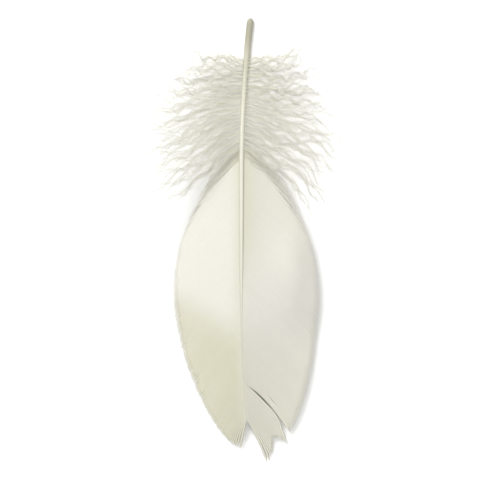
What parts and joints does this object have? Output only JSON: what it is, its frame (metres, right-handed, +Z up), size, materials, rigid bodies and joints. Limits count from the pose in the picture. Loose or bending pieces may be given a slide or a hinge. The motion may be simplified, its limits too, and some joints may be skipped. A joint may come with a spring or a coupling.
{
  "type": "goose feather",
  "caption": "White goose body feather lying outer side up, with a short bare quill, a downy base and an arched vane whose tip is split.",
  "frame": {"origin": "on the surface that the feather lies on, under the middle of its bounding box", "axes": "+Y along the feather towards the quill's end, +X to its right as seen from above with the quill away from the viewer, +Z up"},
  "size_m": [0.0532, 0.1006, 0.0093],
  "materials": {
    "feather": "satin",
    "down": "matte",
    "quill": "satin"
  },
  "bodies": {
    "root": {"feather": "feather"}
  },
  "joints": []
}
